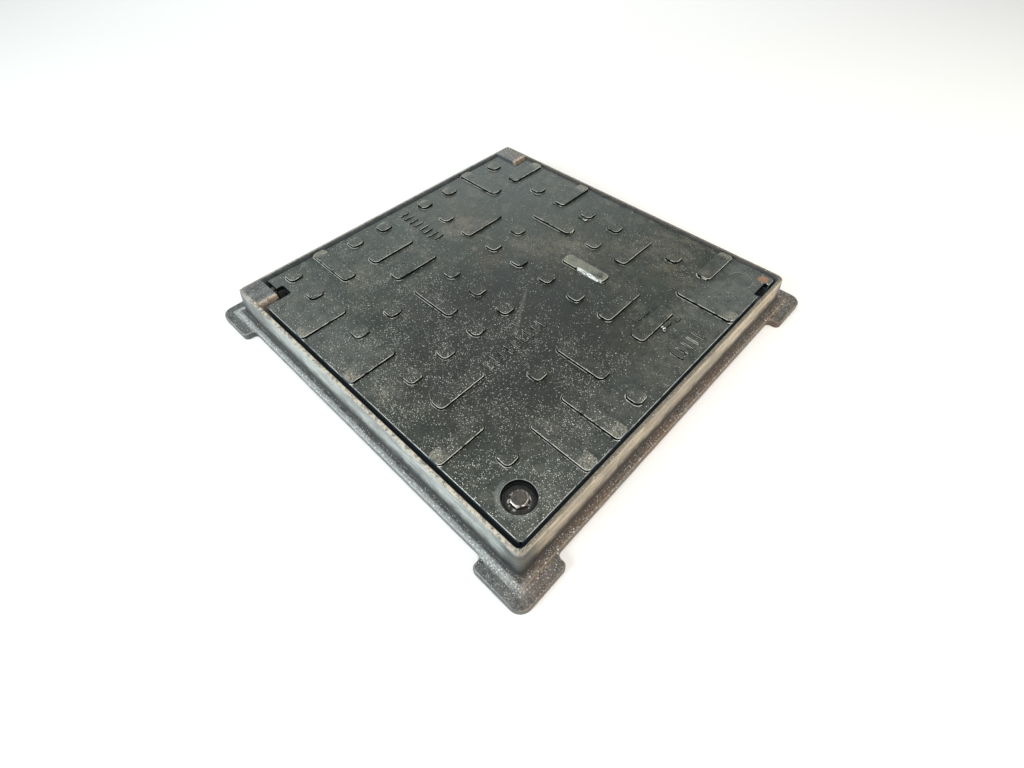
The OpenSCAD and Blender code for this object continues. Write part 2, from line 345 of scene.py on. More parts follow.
# %% Studs that are pulled out into bars
def stud_tree():
    tree, board = new_tree("studs and bars", [
        ("Stud", "NodeSocketObject"), ("Unevenness", "NodeSocketFloat"), ("Seed", "NodeSocketInt"),
        ("Finish", "NodeSocketMaterial")])
    given = board.node("NodeGroupInput")
    points, stud, uneven, seed, finish = [given.out(k) for k in range(5)]

    def attribute(name):
        return board.node("GeometryNodeInputNamedAttribute", {"data_type": "FLOAT_VECTOR"},
                          {"Name": name})

    shape = board.node("GeometryNodeObjectInfo", {}, {"Object": stud}).out("Geometry")
    cloud = board.node("GeometryNodeMeshToPoints", {}, {"Mesh": points})
    sunk = board.node("FunctionNodeRandomValue", {"data_type": "FLOAT"}, {"Seed": seed}, out=1)
    sunk = board.node("ShaderNodeCombineXYZ", {}, {2: (sunk - 1.0) * uneven})
    cloud = board.node("GeometryNodeSetPosition", {}, {"Geometry": cloud, "Offset": sunk})
    copies = board.node("GeometryNodeInstanceOnPoints", {}, {"Points": cloud, "Instance": shape})
    real = board.node("GeometryNodeRealizeInstances", {}, {0: copies})
    place = board.node("GeometryNodeInputPosition")
    inside = board.split(place - attribute("centre"))
    low, high = board.split(attribute("low end")), board.split(attribute("high end"))
    pull = [low[k] * (inside[k] < 0.0) + high[k] * (inside[k] > 0.0) for k in range(2)]
    pull = board.node("ShaderNodeCombineXYZ", {}, {0: pull[0], 1: pull[1]})
    real = board.node("GeometryNodeSetPosition", {}, {"Geometry": real, "Offset": pull})
    real = board.node("GeometryNodeSetMaterial", {}, {"Geometry": real, "Material": finish})
    board.node("NodeGroupOutput", {}, {0: real})
    return tree


STUDS = stud_tree()
print("tree", STUDS.name, "has", len(STUDS.nodes), "nodes")

# %% [markdown]
# ## Finishes
# Grey iron from a sand mould is a fine grain of small lumps under a thin coat of dark bitumen paint.
# In use, dust and fine grit lie on it as pale specks, raised edges wear bright, and rust shows where
# water stands. Light and shade are painted in too: the specks and bright edges are partly painted glints
# and highlights, and steep sides, hollows and recesses get painted shade. Each of these is a mask made
# from Object coordinates, so it stays with the piece as it moves, and each mask changes the colour, the
# roughness and the height together.

# %% Masks shared by the iron finishes
class Iron(Board):
    """A material's board, with the masks that cast iron needs. Its colour is painted in layers."""

    def __init__(self, name):
        self.material = bpy.data.materials.new(name)
        self.material.use_nodes = True
        super().__init__(self.material.node_tree)
        coordinates = self.node("ShaderNodeTexCoord")
        self.place = coordinates.out("Object")
        self.x, self.y, self.z = self.split(self.place)
        self.facing = self.split(coordinates.out("Normal"))

    def cloud(self, scale, detail=4.0, rough=0.55, shift=0.0):
        place = self.place + (shift, shift, shift) if shift else self.place
        return self.node("ShaderNodeTexNoise", {},
                         {"Vector": place, "Scale": scale, "Detail": detail, "Roughness": rough})

    def specks(self, scale, share, size):
        """Round specks in some cells only; share may be a mask."""
        cell = self.node("ShaderNodeTexVoronoi", {}, {"Vector": self.place, "Scale": scale})
        draw = self.node("ShaderNodeSeparateColor", {}, {0: cell.out("Color")})
        shine = draw.out(1)
        return (draw < share) * self.ramp(cell, size, size * 0.65) * (shine * shine * 0.88 + 0.12)

    def tint(self, mask, under, over):
        return self.node("ShaderNodeMix", {"data_type": "RGBA"}, {0: mask, 6: under, 7: over}, out=2)

    def paint(self, mask, shade):
        """Lays one more shade over the colour so far, as thick as the mask says."""
        self.colour = self.tint(mask, self.colour, shade)

    def near(self, x, y, reach, ragged=0.0, core=0.6):
        """1 in the core round a place on the plan, falling to 0 at its reach, with a ragged border."""
        away = self.node("ShaderNodeVectorMath", {"operation": "DISTANCE"},
                         {0: self.node("ShaderNodeCombineXYZ", {}, {0: self.x, 1: self.y}),
                          1: (x * MM, y * MM, 0.0)}, out=1)
        if ragged:
            away = away + (self.cloud(160.0, 3.0) - 0.5) * (ragged * MM)
        return self.ramp(away, reach * MM, reach * core * MM)

    def stroke(self, start, end, width):
        """1 along the middle of a straight scratch between two places on the plan."""
        way = Vector(end) - Vector(start)
        right, ahead = self.x - start[0] * MM, self.y - start[1] * MM
        unit = way.normalized()
        along = right * unit.x + ahead * unit.y
        across = self.function("ABSOLUTE", ahead * unit.x - right * unit.y)
        return self.between(along, 0.0, way.length * MM, 4 * MM) * self.ramp(across, width * MM, 0.0)

    def larger(self, first, second):
        return self.function("MAXIMUM", first, second)

    def finish(self, roughness, height, depth, metal=0.0, specular=0.5):
        bump = self.node("ShaderNodeBump", {},
                         {"Strength": 1.0, "Distance": depth, "Height": height})
        shader = self.node("ShaderNodeBsdfPrincipled", {}, {
            "Base Color": self.colour, "Roughness": roughness, "Metallic": metal,
            "Specular IOR Level": specular, "Normal": bump})
        self.node("ShaderNodeOutputMaterial", {}, {0: shader})
        return self.material


# %% [markdown]
# The lid's paint is a dark green-grey, browner on the half away from the lock, where dirt dries on it.
# Its middle is painted darkest as painted shade, and its far and left parts carry a painted bluish
# sheen.
# Edges that stand up are polished and carry painted highlights, and the outer ends of the edge bars are
# rubbed down to a tan grey. Pale specks, partly grit and partly painted glints, are thickest towards the
# lock.

# %% Lid finish
def lid_finish():
    iron = Iron("lid_iron_worn")
    ramp, between, larger, cloud, near, paint = (
        iron.ramp, iron.between, iron.larger, iron.cloud, iron.near, iron.paint)
    x, y, z = iron.x, iron.y, iron.z
    patches, mottle = cloud(9.0, 5.0, 0.6), cloud(60.0, 8.0, 0.7, 3.0)
    salt, lumps = cloud(480.0, 5.0, 0.75, 1.0), cloud(330.0, 3.0, 0.6)
    level, inward = iron.facing[2], y - LID_Y * MM
    flat = ramp(level, 0.6, 0.9)
    mix = mottle * 0.45 + salt * 0.55
    grain = ramp(mix, 0.38, 0.62)
    iron.colour = iron.tint(grain, (0.006, 0.010, 0.008, 1), (0.033, 0.040, 0.031, 1))
    brown = ramp(patches, 0.46, 0.64) * ramp(mix, 0.42, 0.60)
    brown = brown * (0.2 + 0.45 * ramp(inward, -0.16, 0.06))
    paint(brown, (0.070, 0.060, 0.040, 1))
    green = ramp(patches, 0.48, 0.36) * ramp(inward, 0.16, 0.02)
    paint(green * 0.6, (0.008, 0.016, 0.012, 1))
    # Painted sheen: the far and left parts of the lid are painted a lighter bluish grey, for the
    # reflection of the bright surroundings.
    painted_sheen = ramp(inward - x, 0.05, 0.42)
    painted_sheen = larger(painted_sheen, ramp(x, -0.06, -0.24))
    paint(painted_sheen * (0.15 + 0.30 * grain), (0.070, 0.092, 0.092, 1))
    for right, ahead, reach, ragged, strength, tone in LID_PATCHES:
        spot = near(right, ahead + LID_Y, reach, ragged, 0.3) * ramp(mix, 0.43, 0.56) * flat
        paint(spot * strength, tone)
    # Painted shade: the middle of the lid is painted darker, where it catches no sheen, and the dust
    # there is thinner.
    middle = near(60, -70, 225, 60, 0.35)
    paint(middle * 0.85, (0.003, 0.005, 0.004, 1))
    dusty = ramp(cloud(34.0, 6.0, 0.72, 11.0), 0.50, 0.62) * ramp(mix, 0.40, 0.54)
    paint(dusty * (0.45 - 0.40 * middle), (0.115, 0.112, 0.090, 1))
    near_side = ramp(inward, -0.17, -0.23) * ramp(x, 0.07, -0.07)
    right_side = ramp(x, 0.17, 0.22) * (0.40 + 0.95 * ramp(inward, 0.09, 0.16))
    trodden = larger(near_side, right_side) * (0.2 + 0.5 * grain)
    paint(trodden, (0.10, 0.11, 0.105, 1))
    for start, end, width, strength in LID_SCRATCHES:
        line = iron.stroke(start, end, width) * ramp(mix, 0.40, 0.54) * flat
        paint(line * strength, (0.24, 0.235, 0.20, 1))

    top = ramp(z, 0.0514, 0.0518) * ramp(level, 0.6, 0.95)
    paint(top * ramp(mix, 0.44, 0.60) * 0.35, (0.085, 0.088, 0.075, 1))
    rim = larger(iron.function("ABSOLUTE", x), iron.function("ABSOLUTE", inward))
    ends = top * ramp(rim + (patches - 0.5) * 0.04, 0.240, 0.252)
    ends = ends * ramp(cloud(420.0, 5.0, 0.7), 0.38, 0.60)
    paint(ends * 0.75, (0.27, 0.255, 0.21, 1))
    bar = between(x, 0.017, 0.089, 0.001) * between(inward, 0.085, 0.105, 0.001)
    bar = bar * ramp(z, 0.0510, 0.0517) * (0.35 + 0.5 * grain) * ramp(mottle, 0.36, 0.48)
    paint(bar, (0.20, 0.21, 0.165, 1))

    # Painted shade: the steep sides of the studs, bars and strokes and the fillets at their feet are
    # painted near black, so that they read as shaded. The lid's outer side, down in the gap, is painted
    # a bluish grey as painted fill light.
    outer = ramp(rim, 0.2585, 0.2592)
    side = ramp(level, 0.80, 0.56) * ramp(level, -0.5, -0.3)
    side = side * larger(ramp(z, 0.0424, 0.0430), outer)
    skirt = ramp(level, 0.990, 0.94) * between(z, 0.04896, 0.0495, 0.00005)
    shade = larger(side, skirt)
    painted_shade_and_fill = iron.tint(outer, (0.006, 0.008, 0.008, 1), (0.10, 0.13, 0.155, 1))
    paint(shade, painted_shade_and_fill)
    # Painted highlights, partly polish: the rounded upper edges of the studs and bars, the lid's border
    # and the recess lip are painted bright, strongest on the sides that face the lock corner.
    highlit_side = 0.10 + 0.90 * ramp(iron.facing[0] - iron.facing[1], 0.0, 0.30)
    edge = ramp(level, 0.58, 0.74) * ramp(level, 0.992, 0.95)
    lips = larger(ramp(rim, 0.2555, 0.2575), near(LOCK[0], LOCK[1], 24.0))
    high = larger(ramp(z, 0.0500, 0.0503), ramp(z, 0.0473, 0.0476) * lips)
    edge = edge * high * highlit_side * ramp(cloud(95.0, 5.0), 0.34, 0.52)
    paint(edge * 0.95, (0.78, 0.79, 0.72, 1))
    # Painted highlight: a thin bright line along the foot of the sides that face the edge by the lock.
    foot = between(z, 0.04883, 0.04892, 0.00003) * ramp(iron.facing[1], -0.01, -0.06)
    foot = foot * ramp(cloud(70.0, 5.0, 0.6, 4.0), 0.40, 0.52)
    paint(foot * 0.8, (0.72, 0.75, 0.72, 1))
    halo = near(LOCK[0], LOCK[1], 27.0, 3.0, 0.86) - near(LOCK[0], LOCK[1], 21.0, 2.0, 0.86)
    halo = halo * ramp(inward, -0.215, -0.238) * flat * ramp(mix, 0.36, 0.54)
    paint(halo * 0.55, (0.17, 0.19, 0.18, 1))
    # Painted highlight: a pale line round the lip of each blank circle.
    for centre, strength in zip(BLANKS, (0.55, 0.3)):
        painted_lip_ring = near(*centre, 18.2, core=0.95) - near(*centre, 16.6, core=0.95)
        painted_lip_ring = painted_lip_ring * flat * ramp(mix, 0.36, 0.52)
        paint(painted_lip_ring * strength, (0.30, 0.29, 0.24, 1))
    bare = between(x, 0.046, 0.087, 0.002) * between(inward, 0.0825, 0.0885, 0.001)
    bare = bare * between(z, 0.0493, 0.0517, 0.0002) * ramp(mix, 0.40, 0.50)
    paint(bare, (0.86, 0.88, 0.88, 1))

    # Pale specks, partly grit and partly painted glints of the grain, thickest towards the lock corner.
    share = 0.05 + 0.22 * ramp(inward, 0.06, -0.13)
    share = share * (0.45 + 0.55 * ramp(x, -0.22, 0.0))
    share = share * (0.3 + 1.3 * ramp(cloud(26.0, 5.0, 0.65, 7.0), 0.38, 0.64))
    grit_and_glints = larger(iron.specks(860.0, share * 1.15, 0.44), iron.specks(520.0, share * 0.22, 0.36))
    grit_and_glints = grit_and_glints * flat
    paint(grit_and_glints, (1.0, 1.0, 0.93, 1))
    dust = iron.specks(1300.0, share + 0.10, 0.46) * flat
    paint(dust * 0.35, (0.32, 0.33, 0.30, 1))

    rust = near(249.0, 249.5, 9.0, 9.0) * flat * ramp(mix, 0.34, 0.50)
    paint(rust * 0.8, (0.31, 0.17, 0.10, 1))
    # Painted shade: the recess round the bolt is painted dark navy below its lip.
    well = near(LOCK[0], LOCK[1], 34.0) * ramp(z, 0.0470, 0.0455)
    paint(well * 0.8, (0.010, 0.013, 0.016, 1))

    roughness = 0.46 + 0.35 * (mottle - 0.5) + 0.14 * brown + 0.45 * shade
    roughness = roughness - 0.14 * edge - 0.15 * grit_and_glints - 0.2 * bare - 0.15 * foot
    height = salt * 0.5 + lumps * 0.9 + grit_and_glints * 0.45 + dust * 0.15
    # Painted shade is also made black metal, so that the shaded sides reflect almost nothing.
    metal = edge * 0.4 + bare * 0.5 + shade * (1.0 - outer) * 0.9
    return iron.finish(roughness, height, 0.0011, metal, 0.40)


DUST, PALE_DUST = (0.105, 0.098, 0.072, 1), (0.17, 0.165, 0.13, 1)
TAN = (0.19, 0.15, 0.11, 1)
LID_PATCHES = [                        # x, y, reach, raggedness, strength, colour
    (10, 112, 46, 60, 0.85, DUST), (-25, 84, 34, 50, 0.8, DUST), (-62, 74, 26, 40, 0.7, DUST),
    (110, 215, 60, 90, 0.6, DUST), (158, 172, 36, 50, 0.5, DUST), (60, 170, 30, 50, 0.4, DUST),
    (-98, 20, 7, 6, 0.8, TAN), (-150, 42, 46, 60, 0.5, TAN), (-60, 15, 34, 50, 0.4, TAN),
    (185, 201, 9, 6, 0.9, TAN), (60, -30, 6, 4, 0.6, PALE_DUST), (45, -5, 7, 6, 0.5, PALE_DUST),
    (-170, -130, 40, 60, 0.5, DUST), (20, -237, 18, 20, 0.5, PALE_DUST), (180, -150, 40, 60, 0.4, DUST)]
LID_SCRATCHES = [                      # start, end, half its width, strength
    ((20, 8), (68, -64), 4.0, 0.30), ((26, 2), (52, -52), 1.6, 0.25),
    ((-5, -231), (48, -245), 1.0, 0.7), ((2, -236), (40, -250), 0.8, 0.6),
    ((152, -86), (160, -72), 0.8, 0.5), ((157, -89), (165, -75), 0.8, 0.5),
    ((162, -92), (170, -78), 0.8, 0.5)]
LID_IRON = lid_finish()
print("material", LID_IRON.name, "has", len(LID_IRON.node_tree.nodes), "nodes")

# %% [markdown]
# The frame has the same paint but another life: its rim is trodden, so the top is rubbed to a tan grey
# and the shoulder to a pale satin, which is partly painted sheen. The side beside the lock corner is
# cool and pale, the one round the corner is warmer with rust coming through at its flange. The wall is
# painted darker towards its foot, and painted shade lies in its hollow fillet and partly round its
# corners.

# %% Frame finish
def frame_finish():
    iron = Iron("frame_iron_worn")
    ramp, between, larger, cloud, paint = iron.ramp, iron.between, iron.larger, iron.cloud, iron.paint
    x, y, z = iron.x, iron.y, iron.z
    patches, mottle = cloud(11.0, 5.0, 0.6), cloud(85.0, 7.0, 0.7, 3.0)
    salt, lumps = cloud(520.0, 5.0, 0.75, 1.0), cloud(240.0, 5.0, 0.65)
    mix = mottle * 0.45 + salt * 0.55
    grain = ramp(mix, 0.38, 0.62)
    level = iron.facing[2]
    across = iron.function("ABSOLUTE", x)
    along = iron.function("ABSOLUTE", y)
    out = larger(across, along)
    warm = ramp(x + y, -0.03, 0.03)
    plate = ramp(out, 0.2845, 0.2870)

    iron.colour = iron.tint(grain, (0.024, 0.028, 0.029, 1), (0.150, 0.160, 0.160, 1))
    paint(warm * ramp(mix, 0.30, 0.60) * (0.75 - 0.4 * plate), (0.120, 0.078, 0.045, 1))
    wall = ramp(z, 0.0125, 0.018) * ramp(out, 0.2655, 0.2680)
    border = z + (cloud(48.0, 6.0, 0.7) - 0.5) * 0.026
    streaks = iron.node("ShaderNodeTexNoise", {}, {
        "Vector": iron.place * (0.14, 0.14, 1.5), "Scale": 170.0, "Detail": 6.0, "Roughness": 0.70})
    streaks = ramp(streaks + (patches - 0.5) * 0.6, 0.60, 0.42)
    wear_and_sheen = ramp(border, 0.019, 0.035)
    # The wall is painted darker towards its foot.
    low_wall_dark = wall * ramp(border, 0.028, 0.018)
    paint(low_wall_dark * 0.5, (0.030, 0.031, 0.030, 1))
    # The upper wall is painted pale, partly as worn satin paint and partly as painted sheen, cool grey
    # on two sides and warm beige on the other two.
    pale = iron.tint(warm, (0.42, 0.455, 0.435, 1), (0.50, 0.430, 0.32, 1))
    lit = (0.45 + 0.55 * ramp(mix, 0.34, 0.54)) * (0.5 + 0.5 * ramp(x, -0.26, -0.12))
    lit = lit * (0.45 + 0.55 * streaks)
    paint(wall * wear_and_sheen * lit, pale)
    tread = ramp(z, 0.0503, 0.0516) * ramp(level, 0.5, 0.95)
    tread = tread * ramp(out, 0.2640, 0.2648) * (0.35 + 0.65 * ramp(x, -0.262, -0.225))
    paint(tread * 0.75, (0.085, 0.075, 0.060, 1))
    rubbed = iron.tint(warm, (0.54, 0.48, 0.38, 1), (0.15, 0.130, 0.090, 1))
    bare = tread * ramp(cloud(260.0, 6.0, 0.75), 0.40, 0.56)
    paint(bare * 0.9, rubbed)
    # The upper wall is painted darker round each corner, partly as dirt and chipped paint and partly as
    # painted shade.
    corner = iron.function("MINIMUM", across, along) + (patches - 0.5) * 0.05
    corner = ramp(corner, 0.238, 0.258) * ramp(z, 0.0515, 0.0480)
    paint(corner * wall * 0.75, (0.026, 0.032, 0.036, 1))

    # Painted shade: the hollow fillet between the wall and the flange is painted dark.
    hollow = between(out, 0.2725, 0.2758, 0.0020) * ramp(z, 0.020, 0.0140)
    paint(hollow * 0.7, (0.020, 0.021, 0.020, 1))
    # Painted sheen: the flange on the cool sides is painted a pale grey.
    brim = between(out, 0.2795, 0.2855, 0.0022) * ramp(z, 0.0075, 0.0100)
    paint(brim * (1.0 - warm) * (0.3 + 0.6 * grain), (0.40, 0.43, 0.43, 1))
    # The flange's outer top edge is painted bright, as wear and as a painted highlight.
    worn_edge_highlight = between(level, 0.55, 0.93, 0.05) * ramp(z, 0.004, 0.007)
    worn_edge_highlight = worn_edge_highlight * ramp(out, 0.279, 0.282) * (0.3 + 0.5 * grain)
    paint(worn_edge_highlight, iron.tint(warm, (0.34, 0.35, 0.34, 1), (0.27, 0.22, 0.15, 1)))
    glint = brim * iron.specks(430.0, 0.75 - 0.45 * warm, 0.50)
    paint(glint, (0.85, 0.87, 0.87, 1))
    rust = warm * ramp(z, 0.016, 0.004) * ramp(patches + (mix - 0.5), 0.42, 0.60)
    paint(rust * (0.85 - 0.4 * plate), (0.150, 0.066, 0.026, 1))
    spots = iron.specks(230.0, 0.16, 0.42) * between(z, 0.046, 0.0512, 0.001) * wall
    paint(spots * 0.7, (0.17, 0.085, 0.045, 1))
    # Pale specks on the upward faces, partly grit and partly painted glints.
    grit_and_glints = larger(iron.specks(700.0, 0.42, 0.44), iron.specks(400.0, 0.14, 0.34))
    grit_and_glints = grit_and_glints * ramp(level, 0.4, 0.9)
    paint(grit_and_glints, (0.64, 0.63, 0.59, 1))
    # Painted fill light: the top of the mouth's inner wall, down in the gap, is painted a bluish grey.
    inside = ramp(out, 0.2650, 0.2640) * ramp(z, 0.0512, 0.0500)
    paint(inside * 0.85, (0.10, 0.13, 0.155, 1))

    ends = between(x, -0.2225, -0.2185, 0.004) * ramp(out, 0.2642, 0.2634)
    ends = ends * ramp(cloud(330.0, 5.0, 0.7), 0.34, 0.54)
    rusty = iron.tint(grain, (0.24, 0.15, 0.085, 1), (0.62, 0.54, 0.43, 1))
    paint(ends * 0.9, rusty)

    roughness = 0.46 + 0.35 * (mottle - 0.5) - 0.06 * wall * wear_and_sheen - 0.15 * glint + 0.15 * hollow
    height = (salt * 0.5 + lumps * 1.1) * (1.0 - 0.6 * wall * wear_and_sheen) + grit_and_glints * 0.35 + glint * 0.5
    return iron.finish(roughness, height, 0.0015, glint * 0.3)


FRAME_IRON = frame_finish()
print("material", FRAME_IRON.name, "has", len(FRAME_IRON.node_tree.nodes), "nodes")

# %% [markdown]
# The lock's small parts are machined or forged steel. The bolt is dark with greasy dirt, and its
# corners are worn bright and carry painted highlights. The washer under its head has a ring of painted
# glints. The spring washer and the nut are dull zinc, and the cam is rough iron like the castings.

# %% Lock finishes
def steel_finish(name, dark, light, rusty, roughness, metal, polish=0.0, glint_amount=0.0):
    """Steel with dirt and rust; polish is for its turned edges, worn bright and painted with highlights,
    and the last value for a ring of painted glints.
    """
    iron = Iron(name)
    ramp = iron.ramp
    mottle, grain = iron.cloud(420.0, 5.0, 0.65), iron.cloud(1500.0, 2.0)
    level = iron.facing[2]
    iron.colour = iron.tint(ramp(mottle, 0.35, 0.65), dark, light)
    spots = ramp(iron.cloud(520.0, 4.0, 0.6, 5.0), 0.54, 0.68)
    iron.paint(spots * rusty, (0.20, 0.095, 0.040, 1))
    # The turned edges are painted bright, as worn steel and as painted highlights.
    edge = ramp(level, 0.10, 0.30) * ramp(level, 0.99, 0.93)
    edge = edge * ramp(iron.cloud(260.0, 3.0, 0.5, 9.0), 0.44, 0.58) * polish
    iron.paint(edge, (0.80, 0.76, 0.68, 1))
    # Painted glints: a broken bright ring round the bolt's head.
    glint = iron.near(LOCK[0], LOCK[1], 13.0, core=0.92) - iron.near(LOCK[0], LOCK[1], 10.4, core=0.92)
    glint = glint * ramp(iron.cloud(170.0, 3.0, 0.5, 2.0), 0.50, 0.56) * glint_amount
    iron.paint(glint, (0.78, 0.80, 0.80, 1))
    rough = roughness + 0.25 * (mottle - 0.5) + spots * (0.2 * rusty) - edge * 0.15 - glint * 0.2
    return iron.finish(rough, mottle * 0.6 + grain * 0.4, 0.00015, edge * (1 - metal) + metal)


BOLT_STEEL = steel_finish("bolt_steel_worn", (0.030, 0.027, 0.024, 1), (0.075, 0.070, 0.064, 1),
                          0.35, 0.44, 0.25, 0.95)
WASHER_STEEL = steel_finish("washer_steel_worn", (0.012, 0.013, 0.014, 1), (0.050, 0.048, 0.044, 1),
                            0.5, 0.38, 0.3, 0.9, 0.9)
ZINC_STEEL = steel_finish("zinc_steel_dull", (0.14, 0.14, 0.135, 1), (0.30, 0.30, 0.29, 1),
                          0.6, 0.42, 0.6)
CAM_IRON = steel_finish("cam_iron_worn", (0.040, 0.042, 0.040, 1), (0.085, 0.082, 0.075, 1),
                        0.9, 0.55, 0.1)
print("lock finishes:", BOLT_STEEL.name, WASHER_STEEL.name, ZINC_STEEL.name, CAM_IRON.name)

# %% [markdown]
# ## Smooth faces with crisp edges
# A casting's flats are flat and its radii are soft. All faces are shaded smooth, edges that really
# turn stay sharp, and Weighted Normal lets the large flats win over the narrow roundings.

# %% Shading
def finish_piece(piece, material, body, node, angle=35.0):
    mesh = piece.data
    mesh.materials.clear()
    mesh.materials.append(material)
    mesh.polygons.foreach_set("material_index", [0] * len(mesh.polygons))
    mesh.polygons.foreach_set("use_smooth", [True] * len(mesh.polygons))
    mesh.set_sharp_from_angle(angle=math.radians(angle))
    weighted = piece.modifiers.new("weighted", "WEIGHTED_NORMAL")
    weighted.keep_sharp = True
    bake(piece)
    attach(piece, body)
    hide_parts(node)
    low, high = [np.array(v) / MM for v in (piece.bound_box[0], piece.bound_box[6])]
    print(piece.name, "faces", len(piece.data.polygons), "from", low.round(1), "to", high.round(1))


# %% [markdown]
# ## The frame
# The frame's section runs right round: rim, leaning wall, hollow fillet, flange and, inside, the ledge
# that the lid rests on. Each point of the section becomes one rounded square, so the casting is one
# loop of rings. The corners open out from a tight foot to a softer shoulder, as a fettled casting does.

# %% The frame's section, from the mouth over the rim and round to the ledge
MOUTH = 264.5                          # half of the mouth that takes the lid
RIM = 270.0                            # half of the rim's outside, at its top
FLANGE = 284.0                         # half of the flange
LEDGE_TOP, LEDGE_FOOT, OPENING = 25.7, 19.7, 250.0
FLANGE_TOP, FOOT_TOP = 12.0, 10.0
LEAN, LEAN_OVER = 3, 33                # how far the wall leans out, over how much height

section = [(MOUTH, 8, 51.2), (MOUTH + 0.25, 8.2, 51.75), (MOUTH + 0.9, 8.5, TOP)]
section += [(half, 9, z) for half, z in arc((RIM - 3, TOP - 3), 3, 90, 0, 6)]
section += [(RIM + LEAN * (TOP - 3 - z) / LEAN_OVER, 4 + (z - 12) * 0.13, z)
            for z in (44, 38, 32, 26, 20)]
section += [(half, 4.5, z) for half, z in arc((RIM + 7, FLANGE_TOP + 4), 4, 180, 270, 6)]
section += [(half, 5, z) for half, z in arc((FLANGE - 3.2, FLANGE_TOP - 3), 3, 90, 0, 6)]
section += [(FLANGE - 0.2, 5, 5), (FLANGE - 0.2, 5, 0.8), (FLANGE - 0.8, 5, 0)]
section += [(MOUTH + 0.8, 8, 0), (MOUTH, 8, 0.8), (MOUTH, 8, 10), (MOUTH, 8, LEDGE_FOOT - 2)]
section += [(MOUTH - 2, 9, LEDGE_FOOT), (OPENING + 0.8, 12, LEDGE_FOOT)]
section += [(OPENING, 12, z) for z in (LEDGE_FOOT + 0.8, LEDGE_TOP - 0.8)]
section += [(OPENING + 0.8, 12, LEDGE_TOP)]
section += [(MOUTH - 1.5, 9, LEDGE_TOP), (MOUTH, 8, LEDGE_TOP + 1.5), (MOUTH, 8, 40)]

rings = [laid(rounded((-half, -half), (half, half), radius, arc=7, side=56), z)
         for half, radius, z in section]
casting = solid("frame_casting", rings, looped=True)
print("section of", len(section), "points,", len(rings[0]), "stations round")

# %% [markdown]
# Each foot is an L-shaped plate let into a corner, a little lower than the flange. Its outline is drawn
# once and turned to the other three corners.

# %% Feet
FOOT = frame_high[0] - 0.3             # half over the feet, less room for the casting's unevenness
FOOT_START = FOOT - 70                 # where a foot starts along its side
CORNER, TIP, FILLET = 15, 7, 6         # radii at its corner, at its two ends and against the flange
inner = RIM - 2.75
corner_plate = [(inner, FOOT_START - FILLET)]
corner_plate += arc((FLANGE + FILLET, FOOT_START - FILLET), FILLET, 180, 90)
corner_plate += arc((FOOT - TIP, FOOT_START + TIP), TIP, 270, 360)
corner_plate += arc((FOOT - CORNER, FOOT - CORNER), CORNER, 0, 90, 9)
corner_plate += arc((FOOT_START + TIP, FOOT - TIP), TIP, 90, 180)
corner_plate += arc((FOOT_START - FILLET, FLANGE + FILLET), FILLET, 0, -90)
corner_plate += [(FOOT_START - FILLET, inner), (inner, inner)]
corner_plate = np.array(corner_plate)
foot_steps = [(0.5, 0), (0, 0.8), (0, FOOT_TOP - 2.4), (0.35, FOOT_TOP - 1.2), (1.1, FOOT_TOP - 0.35),
              (2.4, FOOT_TOP)]
quarter_turn = np.array(((0, 1), (-1, 0)))
for quarter in range(4):
    plate = corner_plate @ np.linalg.matrix_power(quarter_turn, quarter)
    combine(casting, solid("foot", stack(plate, foot_steps)))
print("frame with feet:", len(casting.data.polygons), "faces")

# %% [markdown]
# Two housings fill the corners at the hinge side. Each has a blind slot, open to the lid, that lets the
# trunnion rise into it from below and turn under its roof. The ledge is left out between them, so that
# the lid's edge can swing down.

# %% Hinge housings
HOUSING_END = -MOUTH + 45.0
HOUSING_SIDE = MOUTH - 28.5
ROOF = 5.5
PIN, BORE = 5.5, 5.56                  # radii of the trunnion and of the slot that takes it
WELL_END = -200.0                      # how far in the ledge is left out


def housing(side):
    outline = rounded((-MOUTH - 3.6, HOUSING_SIDE), (HOUSING_END, MOUTH + 3.6), 1.6, arc=3)
    if side < 0:
        outline = outline[::-1] * (1, -1)
    block = solid("housing", stack(outline, [(0, LEDGE_TOP - 1), (0, TOP - 1.5), (0.45, TOP - 0.45),
                                             (1.5, TOP)]))
    slot = np.array([(hinge[0] - BORE, hinge[2] + 0.2), *arc((hinge[0], hinge[2]), BORE, 180, 360, 13),
                     (hinge[0] + BORE, TOP - ROOF), (hinge[0] - BORE, TOP - ROOF)])
    slot = [stood(slot, side * y) for y in (HOUSING_SIDE - 3, MOUTH - 1)]
    combine(block, solid("slot", slot), "DIFFERENCE")
    return block


well = rounded((-MOUTH, -HOUSING_SIDE), (WELL_END, HOUSING_SIDE), 0.5, arc=2)
combine(casting, solid("well", stack(well, [(0, -1), (0, TOP - 4)])), "DIFFERENCE")
for side in (-1, 1):
    combine(casting, housing(side))
print("frame with housings:", len(casting.data.polygons), "faces")

# %% [markdown]
# No sand casting is straight. A slow wave and a finer one move the outside of the frame by a few tenths
# of a millimetre, which shows as a living outline at the flange. The base stays flat, and nothing may
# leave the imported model's box.

# %% Unevenness of the frame
def uneven(piece, slow, fine, weight):
    mesh = piece.data
    for vertex in mesh.vertices:
        place = vertex.co
        amount = weight(place)
        if amount > 0:
            wave = noise.noise_vector(place * 32.0) * slow + noise.noise_vector(place * 115.0) * fine
            vertex.co = place + wave * (amount * MM)
            for axis in range(3):
                vertex.co[axis] = min(max(vertex.co[axis], cad_bounds[0][axis]), cad_bounds[1][axis])


def frame_weight(place):
    out = max(abs(place.x), abs(place.y)) / MM
    if place.z < 0.6 * MM or out < RIM - 3.5:
        return 0.0
    return min(1.0, (out - RIM + 3.5) / 12.0) * min(1.0, place.z / (3 * MM))


